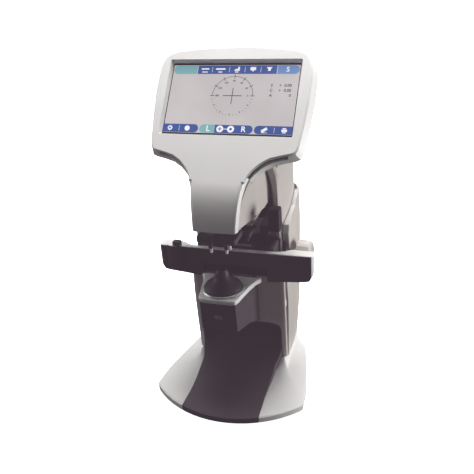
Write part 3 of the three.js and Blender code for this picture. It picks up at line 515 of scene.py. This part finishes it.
def dial_tick(degrees, inset, length, width):
    """A short stroke across the dial's circle, or just inside it."""
    return bar(on_circle(DIAL_CENTRE, DIAL_RADIUS - inset, degrees), length, width, degrees)


def dial_marks():
    """Upper half as a line with fine and long ticks, lower half as dashes."""
    line = ring_pieces(DIAL_CENTRE, DIAL_RADIUS, DIAL_RADIUS + 0.4, 0, 180, 60)
    fine = [dial_tick(d, 0, 0.9, 0.5) for d in range(5, 180, 5)]
    long = [dial_tick(d, 0, 5.0, 0.75) for d in range(0, 181, 30)]
    dashes = [dial_tick(d, 0, 0.9, 0.75) for d in range(190, 360, 10)]
    low_ticks = [dial_tick(d, 0.8, 2.4, 0.75) for d in range(210, 360, 30)]
    return line + fine + long + dashes + low_ticks


def gear(centre, radius):
    """A disc with eight teeth."""
    teeth = [bar(centre, 2 * radius + 1.4, 1.1, 45 * i) for i in range(4)]
    return teeth + [disc(centre, radius)]


def divider(x, band):
    """Thin upright line in a bar of the display."""
    return box_outline(x - 0.2, x + 0.2, band[0] + 2, band[1] - 2)


def icon_plates():
    """White signs on the bars."""
    top = (HEADER[0] + HEADER[1]) / 2 + 1
    low = (FOOTER[0] + FOOTER[1]) / 2
    signs = [
        pill(-42, -32, top - 0.9, top + 0.9, True, True),
        box_outline(-40.5, -33.5, top - 4.6, top - 3.4),
        pill(-24, -12, top - 1.2, top + 0.9, True, True),
        box_outline(-20.5, -15.5, top - 4.6, top - 3.4),
        [(-1.5, top - 2.4), (5.5, top - 2.4), (5.5, top + 2.6), (3.2, top + 2.6), (3.2, top),
         (0.8, top)],
        box_outline(0, 4.5, top - 4.6, top - 3.4),
        box_outline(18.3, 25, top - 1.8, top + 2.3),
        box_outline(20.8, 22.5, top - 3.2, top - 1.8),
        [(37.5, top + 2.2), (44.5, top + 2.2), (42.6, top - 0.4), (42.6, top - 2.6), (39.6, top - 2.6),
         (39.6, top - 0.4)],
        disc((-47.5, low), 3.2),
        *gear((-69, low), 2.5),
        disc((-7.5, low), 4.2),
        disc((5.5, low), 4.2),
        box_outline(-4, 2, low - 0.4, low + 0.4),
        bar((45, low), 7.5, 3.4, 35),
        box_outline(41.5, 48.5, low - 3.6, low - 3.0),
        box_outline(64.8, 71.2, low - 1.6, low + 1.2),
        box_outline(66.0, 70.0, low + 1.6, low + 3.0),
        box_outline(66.0, 70.0, low - 3.2, low - 2.0),
    ]
    dividers = [divider(x, HEADER) for x in (-28, -7, 12, 31)]
    return signs + dividers + [divider(x, FOOTER) for x in (-57.5, 56.5)]


def build_display():
    """A generic measuring picture: bars with signs, a dial with a cross, and three values."""
    blue = lit("display_blue", 0x33589F, SCREEN_GLOW)
    sky = lit("display_sky", 0x6F97CF, SCREEN_GLOW)
    teal = lit("display_teal", 0x7FB8BC, SCREEN_GLOW)
    white = lit("display_white", 0xF2F0F6, SIGN_GLOW)
    ground = lit("display_ground", 0xD0CACB, SCREEN_GLOW)
    ink = lit("display_ink", 0x3A3644, INK_GLOW)
    violet = lit("display_violet", 0x4A3F86, CROSS_GLOW)

    half_x, half_y = SCREEN_HALF
    low, high = FOOTER
    middle = (low + high) / 2
    display_layer("display_ground", ground, GROUND_LEVEL, [
        box_outline(-half_x, half_x, -half_y, half_y),
    ])
    display_layer("display_bars", blue, BAR_LEVEL, [
        box_outline(-46, 50, *HEADER),
        pill(-half_x, -34, low, high, False, True),
        pill(-14, 31.5, low, high, False, True),
        pill(33.2, half_x, low, high, True, False),
    ])
    display_layer("display_sky_tab", sky, BAR_LEVEL, [pill(51, half_x - 0.5, *HEADER, False, True)])
    display_layer("display_teal_tabs", teal, BAR_LEVEL, [
        pill(0.5 - half_x, -47, *HEADER, True, False),
        pill(-32.5, -14.2, low, high, True, False),
    ])
    display_layer("display_signs", white, SIGN_LEVEL, icon_plates(), [
        ("L", -22, middle, 9.5), ("R", 20.5, middle, 9.5), ("S", 63, HEADER[0] + 5.4, 8.5),
    ])
    display_layer("display_sign_centres", blue, SIGN_CENTRE_LEVEL, [
        disc((-69, middle), 1.3), bar((-7.5, middle), 4.6, 0.9, 0), bar((-7.5, middle), 4.6, 0.88, 90),
        disc((5.5, middle), 1.6),
    ])
    numerals = [
        (str(degrees), *on_circle(DIAL_CENTRE, DIAL_RADIUS - NUMERAL_INSET, degrees), 3.3)
        for degrees in range(0, 181, 30)
    ]
    rows = (("S", "+", "0.00", 17.2), ("C", "+", "0.00", 11.0), ("A", "", "0", 4.8))
    values = [(letter, 46.5, y, 4.8) for letter, _, _, y in rows]
    values += [(sign, 56.5, y, 4.8) for _, sign, _, y in rows if sign]
    values += [(value, 69 if value == "0" else 65.5, y, 5.0) for _, _, value, y in rows]
    display_layer("display_dial", ink, BAR_LEVEL, dial_marks(), numerals + values)
    x, y = DIAL_CENTRE
    display_layer("display_cross", violet, BAR_LEVEL, [
        bar((x, y), 23, 0.9, 0), bar((x, y - 0.4), 20.5, 0.88, 90),
    ])


# ---------------------------------------------------------------- small fittings
KNOB_FLUTES = 24
FLUTE_DEPTH = 0.012  # share of the knob's radius
# Outline of the knob from its inner face to its outer one, as shares of its radius and length
KNOB_PROFILE = [
    (0, 0.02), (0.8, 0.02), (0.93, 0), (0.985, 0.05), (0.995, 0.12), (0.995, 0.14), (0.995, 0.45),
    (0.99, 0.72), (0.97, 0.82), (0.94, 0.9), (0.86, 0.975), (0.74, 1), (0.66, 1), (0.6, 0.95),
    (0.3, 0.9), (0, 0.89),
]


def build_knob():
    """Feed knob with shallow flutes and a dished outer face."""
    low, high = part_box("table_knob")
    middle = (low + high) / 2
    length = high.x - low.x
    radius = (high.z - low.z) / 2

    def fluted(r, height, angle):
        on_rim = r > radius * 0.86 and 0.12 * length < height < 0.88 * length
        depth = FLUTE_DEPTH * radius * (0.5 - 0.5 * math.cos(KNOB_FLUTES * angle)) ** 2
        return r - depth if on_rim else r

    profile = [(r * radius, along * length) for r, along in KNOB_PROFILE]
    place = Matrix.Translation((low.x, middle.y, middle.z)) @ Matrix.Rotation(math.pi / 2, 4, "Y")
    knob = add_turned(
        "table_knob_shape", profile, 144, place, fluted, BODY_OF["table_knob"], "grey_shell"
    )
    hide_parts("table_knob")


SCREW_X = 36  # millimetres from the middle of the cover
SCREW_HEIGHTS = (72, 224)  # over the floor
SCREW_PROFILE = [
    (0, -0.6), (3.4, -0.6), (3.4, 0.3), (3.1, 0.9), (2.2, 1.35), (1.3, 1.45), (1.25, 0.6), (0, 0.35),
]
SCREW_RECESS = 1.5  # millimetres: inside this radius the head has its cross recess


def cross_recess(radius, height, angle):
    """Four-lobed hole in the middle of a screw's head."""
    lobes = 0.72 + 0.28 * abs(math.cos(2 * angle)) ** 0.35
    return radius * lobes if radius < SCREW_RECESS else radius


def build_screws():
    """Pan-head screws that hold the rear cover."""
    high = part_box("rear_cover")[1]
    spots = [(side * SCREW_X, height) for side in (-1, 1) for height in SCREW_HEIGHTS]
    for index, (x, z) in enumerate(spots):
        place = (
            Matrix.Translation((x * MM, high.y, z * MM))
            @ Matrix.Rotation(-math.pi / 2, 4, "X")
            @ Matrix.Scale(MM, 4)
        )
        add_turned(
            f"cover_screw_{index + 1}", SCREW_PROFILE, 32, place, cross_recess,
            BODY_OF["rear_cover"], "steel",
        )


# Corners of the white strip along the rear cover's free edge, a painted highlight for the light on the
# edge's bevel, in millimetres:
# distance behind the cover's front, height over its foot, distance inside the cover's widest place, and
# width of the strip
COVER_EDGE = [
    (23, 134.8, 3.1, 4.4), (23, 158.3, 3.1, 4.4), (23, 159.3, 3.1, 7.8), (23, 169.7, 3.1, 7.8),
    (26.5, 179.7, 3.2, 7.2), (41.5, 186.7, 2.9, 5.1), (56.5, 193.7, 1.4, 5.4), (75, 208.5, 1.2, 4.4),
]
HIGHLIGHT_PROUD, HIGHLIGHT_SUNK = 0.25, 0.8  # how far the strip stands out of the edge and sinks into it


def edge_trim_rings(work, low, high, side):
    """Cross-sections of the painted highlight strip, one at each corner of the cover's edge."""
    rings = []
    for index, (behind, above, inside, width) in enumerate(COVER_EDGE):
        before = Vector(COVER_EDGE[max(index - 1, 0)][:2])
        after = Vector(COVER_EDGE[min(index + 1, len(COVER_EDGE) - 1)][:2])
        along = (after - before).normalized()
        out = Vector((-along.y, along.x))
        edge = Vector((low.y + behind, low.z + above))
        outer = high.x - inside
        section = [
            (outer - width, -HIGHLIGHT_SUNK), (outer, -HIGHLIGHT_SUNK),
            (outer, HIGHLIGHT_PROUD), (outer - width, HIGHLIGHT_PROUD),
        ]
        rings.append([
            work.verts.new(Vector((side * x, *(edge + out * lift))) * MM) for x, lift in section
        ])
    return rings


def build_edge_trims():
    """White strip along the slanted free edge of the rear cover, on both sides: a painted highlight for
    the light on the edge's bevel.
    """
    low, high = (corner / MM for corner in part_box("rear_cover"))
    for name, side in (("cover_edge_painted_highlight_left", -1), ("cover_edge_painted_highlight_right", 1)):
        work = bmesh.new()
        skin(work, edge_trim_rings(work, low, high, side))
        mesh = finished(work, name, outward=True)
        # The white strip is painted highlight: light colour where the cover's edge catches light, not a
        # separate trim.
        add_object(name, mesh, BODY_OF["rear_cover"], "white_shell")


# Millimetres on the nose slider
CAP_RADIUS = 8.4
CAP_MIDDLE = 9.0  # from the slider's left side
CAP_THICK = 1.0
CAP_BELOW_TOP = 2.0
CAP_FRONT_INSET, CAP_BACK_INSET = 0.5, 0.4


def build_nose_slider_cap():
    """Light cap on the round front of the slider."""
    low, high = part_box("nose_slider")
    bar_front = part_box("table_bar")[0].y
    middle = low.x + CAP_MIDDLE * MM
    front, back = low.y + CAP_FRONT_INSET * MM, bar_front - CAP_BACK_INSET * MM
    level = high.z - CAP_BELOW_TOP * MM
    work = bmesh.new()
    outline = [
        (middle + CAP_RADIUS * MM * math.cos(a), back + (front - back) * -math.sin(a))
        for a in (math.pi + math.pi * i / 24 for i in range(25))
    ]
    skin(work, [
        [work.verts.new((x, y, level + lift * CAP_THICK / 2 * MM)) for x, y in outline]
        for lift in (-1, 1)
    ])
    mesh = finished(work, "nose_slider_cap", outward=True)
    add_object("nose_slider_cap", mesh, BODY_OF["nose_slider"], "white_shell")


# ---------------------------------------------------------------- studio
CAMERA_PLACE = (0.2331, -0.659, 0.547)
CAMERA_YAW, CAMERA_PITCH, CAMERA_ROLL = 19.01, 26.28, -4.18  # degrees; pitch is downward
CAMERA_LENS = 48.38  # millimetres on a sensor 36 mm wide


def build_camera():
    """Eye level above the lens table, a little to the right of the instrument."""
    yaw, pitch, roll = (math.radians(a) for a in (CAMERA_YAW, CAMERA_PITCH, CAMERA_ROLL))
    ahead = Vector(
        (-math.sin(yaw) * math.cos(pitch), math.cos(yaw) * math.cos(pitch), -math.sin(pitch))
    )
    right = ahead.cross(Vector((0, 0, 1))).normalized()
    up = right.cross(ahead)
    rolled_right = right * math.cos(roll) + up * math.sin(roll)
    rolled_up = up * math.cos(roll) - right * math.sin(roll)
    data = bpy.data.cameras.new("camera")
    data.lens = CAMERA_LENS
    data.sensor_width = 36
    data.clip_start = 0.01
    camera = bpy.data.objects.new("camera", data)
    turn = Matrix((rolled_right, rolled_up, -ahead)).transposed()
    camera.matrix_world = Matrix.Translation(CAMERA_PLACE) @ turn.to_4x4()
    bpy.context.collection.objects.link(camera)
    bpy.context.scene.camera = camera


LIGHTS = [  # name, place, target, side of the panel, power
    ("overhead", (0, 0.25, 1.1), (0, 0, 0.2), 0.6, 11.0),
    ("overhead_rear", (0, 0.7, 1.6), (0, 0, 0.2), 1.0, 31.0),
    ("right", (1.1, 0.3, 0.15), (0, 0, 0.2), 0.6, 13.5),
    ("left", (-1.2, -0.1, 0.5), (0, 0, 0.2), 0.8, 5.5),
    ("front_low", (0.6, -0.7, 0.06), (0, 0, 0.12), 0.5, 0.45),
]
SKY_LIGHT = 0.03
BACKDROP_GLOW = 1.15
DOME_RADIUS = 9.0
DEEPEST_SHADE = 0x372E36  # the darkest tone that the view lets through


def add_panel(name, place, target, side, power):
    """A square soft light aimed at a target."""
    data = bpy.data.lights.new(name, "AREA")
    data.size = side
    data.energy = power
    lamp = bpy.data.objects.new(name, data)
    lamp.location = place
    lamp.rotation_mode = "QUATERNION"
    lamp.rotation_quaternion = (Vector(target) - Vector(place)).to_track_quat("-Z", "Y")
    lamp.visible_camera = False
    bpy.context.collection.objects.link(lamp)


def build_backdrop():
    """White paper floor that closes into a dome all round."""
    steps_round, steps_up = 48, 16
    profile = [(0, 0)]
    profile += [on_circle((0, 0), DOME_RADIUS, 90 * i / steps_up) for i in range(steps_up)]
    profile.append((0, DOME_RADIUS))
    mesh = turned("backdrop", profile, steps_round, Matrix.Identity(4))
    backdrop = bpy.data.objects.new("backdrop", mesh)
    bpy.context.collection.objects.link(backdrop)
    recipe = Recipe("backdrop_paper", 0.9, Specular_IOR_Level=0.1)
    pale = recipe.ramp(recipe.noise(3, 2), [(0.3, linear(0xF4F4F4)), (0.7, linear(0xFAFAFA))])
    recipe.drive("Base Color", pale)
    recipe.drive("Emission Color", pale)
    recipe.shader.inputs["Emission Strength"].default_value = BACKDROP_GLOW
    mesh.materials.append(recipe.material)
    backdrop.visible_diffuse = False
    backdrop.visible_glossy = False
    backdrop.visible_shadow = False


def build_sky():
    """A little light from all round, so that no shade is quite black."""
    world = bpy.data.worlds.new("studio")
    bpy.context.scene.world = world
    world.use_nodes = True
    sky = world.node_tree.nodes["Background"]
    sky.inputs["Color"].default_value = (SKY_LIGHT, SKY_LIGHT, SKY_LIGHT, 1)


def build_studio():
    """Backdrop, lights and the tone curve."""
    build_backdrop()
    build_sky()
    for light in LIGHTS:
        add_panel(*light)
    look = bpy.context.scene.view_settings
    look.view_transform = "Standard"
    look.use_curve_mapping = True
    for curve, lift in zip(look.curve_mapping.curves, linear(DEEPEST_SHADE)[:3]):
        curve.points[0].location = (0, lift)
    look.curve_mapping.update()


dress_frame()
build_display()
build_knob()
build_screws()
build_edge_trims()
build_nose_slider_cap()
build_camera()
build_studio()
